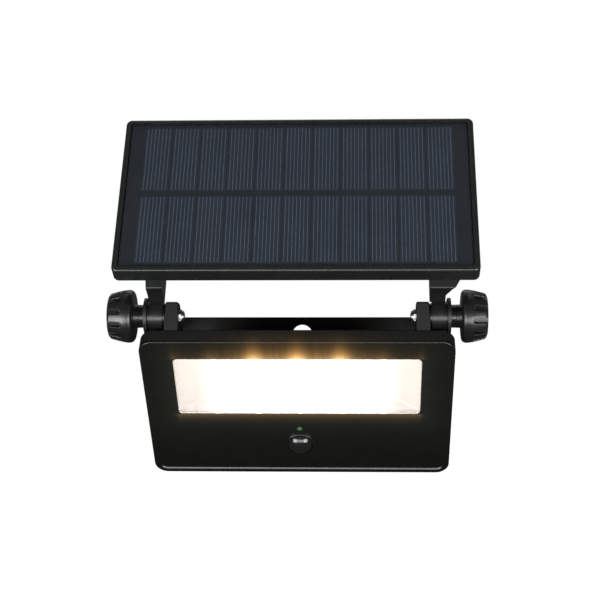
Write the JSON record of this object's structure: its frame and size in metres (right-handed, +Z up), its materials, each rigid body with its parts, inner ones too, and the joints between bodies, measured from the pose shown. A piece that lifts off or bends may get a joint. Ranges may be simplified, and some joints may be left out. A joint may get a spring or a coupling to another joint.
{
  "type": "solar flood light",
  "caption": "Wall-mounted flood light with a tilting lamp head and a tilting solar panel on one pivot axis, clamped by a hand knob on each side.",
  "frame": {"origin": "middle of the wall plate's back face, at the centre of its screw holes", "axes": "+X to the right as seen from the front, +Y into the wall, +Z up; the light faces -Y"},
  "size_m": [0.2428, 0.1089, 0.2409],
  "materials": {
    "bracket_paint": "satin black powder coat on steel",
    "housing_black": "fine-textured moulded black",
    "bezel_black": "smooth satin-gloss moulded black",
    "frame_black": "moulded black with a soft sheen",
    "arm_black": "moulded black",
    "knob_black": "moulded black with moulded grips",
    "backsheet_black": "dark laminate",
    "cell_silicon": "dark blue silicon with pale collector lines",
    "cover_clear": "clear hard-coated sheet",
    "lens_clear": "clear polycarbonate",
    "reflector_white": "white moulded reflector",
    "led_phosphor": "lit warm white LED packages",
    "led_board_white": "white solder mask on an aluminium board",
    "circuit_board": "green solder mask",
    "component_black": "moulded component bodies",
    "gasket_rubber": "soft black silicone",
    "battery_sleeve": "shrink sleeve on a steel can",
    "tray_black": "moulded black",
    "sensor_lens_black": "glossy dark infrared-clear dome",
    "sensor_can": "nickel-plated can",
    "indicator_green": "green-tinted light pipe",
    "zinc_steel": "bright zinc-plated steel",
    "black_steel": "black-oxide steel",
    "washer_nylon": "black nylon"
  },
  "bodies": {
    "bracket": {"wall_bracket": "bracket_paint"},
    "panel": {"panel_frame": "frame_black", "panel_back_cover": "frame_black", "solar_backsheet": "backsheet_black", "solar_cells": "cell_silicon", "solar_cover_sheet": "cover_clear", "panel_terminal_board": "circuit_board", "blocking_diode": "component_black", "left_panel_arm": "arm_black", "right_panel_arm": "arm_black", "back_cover_screws": "black_steel", "arm_screws": "zinc_steel", "panel_cable_gland": "housing_black"},
    "lamp": {"rear_housing": "housing_black", "front_bezel": "bezel_black", "housing_gasket": "gasket_rubber", "window_lens": "lens_clear", "lens_gasket": "gasket_rubber", "reflector": "reflector_white", "led_board": "led_board_white", "leds": "led_phosphor", "control_board": "circuit_board", "board_components": "component_black", "mode_switch": "component_black", "pir_lens": "sensor_lens_black", "pir_ring": "bezel_black", "pir_sensor": "sensor_can", "indicator_light_pipe": "indicator_green", "indicator_led": "indicator_green", "button_surround": "housing_black", "closing_screws": "black_steel", "lamp_cable_gland": "housing_black", "left_battery_cell": "battery_sleeve", "right_battery_cell": "battery_sleeve", "left_battery_tray": "tray_black", "right_battery_tray": "tray_black", "left_friction_washer": "washer_nylon", "right_friction_washer": "washer_nylon", "left_lock_nut": "zinc_steel", "right_lock_nut": "zinc_steel"},
    "left_spacer": {"left_knob_spacer": "washer_nylon"},
    "right_spacer": {"right_knob_spacer": "washer_nylon"},
    "left_clamp_knob": {"left_knob": "knob_black", "left_knob_bolt": "zinc_steel"},
    "right_clamp_knob": {"right_knob": "knob_black", "right_knob_bolt": "zinc_steel"},
    "mode_button": {"button_cap": "gasket_rubber"}
  },
  "joints": [
    {"name": "panel_tilt", "type": "hinge", "parent": "bracket", "child": "panel", "pos_m": [0, -0.08, 0.025], "axis": [1, 0, 0], "range_deg": [-12, 30]},
    {"name": "lamp_tilt", "type": "hinge", "parent": "bracket", "child": "lamp", "pos_m": [0, -0.08, 0.025], "axis": [1, 0, 0], "range_deg": [-40, 11]},
    {"name": "mode_button_press", "type": "slide", "parent": "lamp", "child": "mode_button", "axis": [0, -0.829, -0.5592], "range_m": [0, 0.001], "stiffness_N_per_m": 500},
    {"name": "left_knob_travel", "type": "slide", "parent": "bracket", "child": "left_spacer", "axis": [-1, 0, 0], "range_m": [0, 0.0012]},
    {"name": "left_knob_turn", "type": "hinge", "parent": "left_spacer", "child": "left_clamp_knob", "pos_m": [0, -0.08, 0.025], "axis": [-1, 0, 0], "range_deg": [0, 540]},
    {"name": "right_knob_travel", "type": "slide", "parent": "bracket", "child": "right_spacer", "axis": [1, 0, 0], "range_m": [0, 0.0012]},
    {"name": "right_knob_turn", "type": "hinge", "parent": "right_spacer", "child": "right_clamp_knob", "pos_m": [0, -0.08, 0.025], "axis": [1, 0, 0], "range_deg": [0, 540]}
  ],
  "couplings": [
    {"joint": "left_knob_travel", "follows": "left_knob_turn", "m_per_rad": 0.00012732},
    {"joint": "right_knob_travel", "follows": "right_knob_turn", "m_per_rad": 0.00012732}
  ]
}
